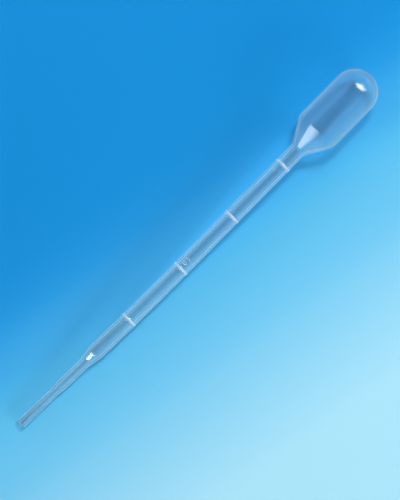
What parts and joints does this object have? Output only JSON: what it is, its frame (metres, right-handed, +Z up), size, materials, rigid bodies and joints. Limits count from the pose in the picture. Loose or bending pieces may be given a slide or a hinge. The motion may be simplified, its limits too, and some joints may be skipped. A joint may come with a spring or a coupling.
{
  "type": "plastic dropper pipette",
  "caption": "Disposable one-piece transfer pipette of soft translucent plastic: drawn tip, graduated stem with raised rings, and a round-ended squeeze bulb.",
  "frame": {"origin": "middle of the bounding box's underside, on the surface that the pipette lies on, where it rests on the rim of its tip and on a small flat on the shoulder of its bulb", "axes": "+Z up; the pipette lies along X with its bulb towards +X and its tip towards -X, the axis rising 2.6 degrees towards the bulb; the stem bows 1.5 mm towards +Y at the tip"},
  "size_m": [0.1552, 0.015, 0.0155],
  "materials": {
    "translucent_polyethylene": "natural low-density polyethylene, unpigmented, milky translucent in thin section, smooth and softly glossy"
  },
  "bodies": {
    "root": {"pipette": "translucent_polyethylene"}
  },
  "joints": []
}
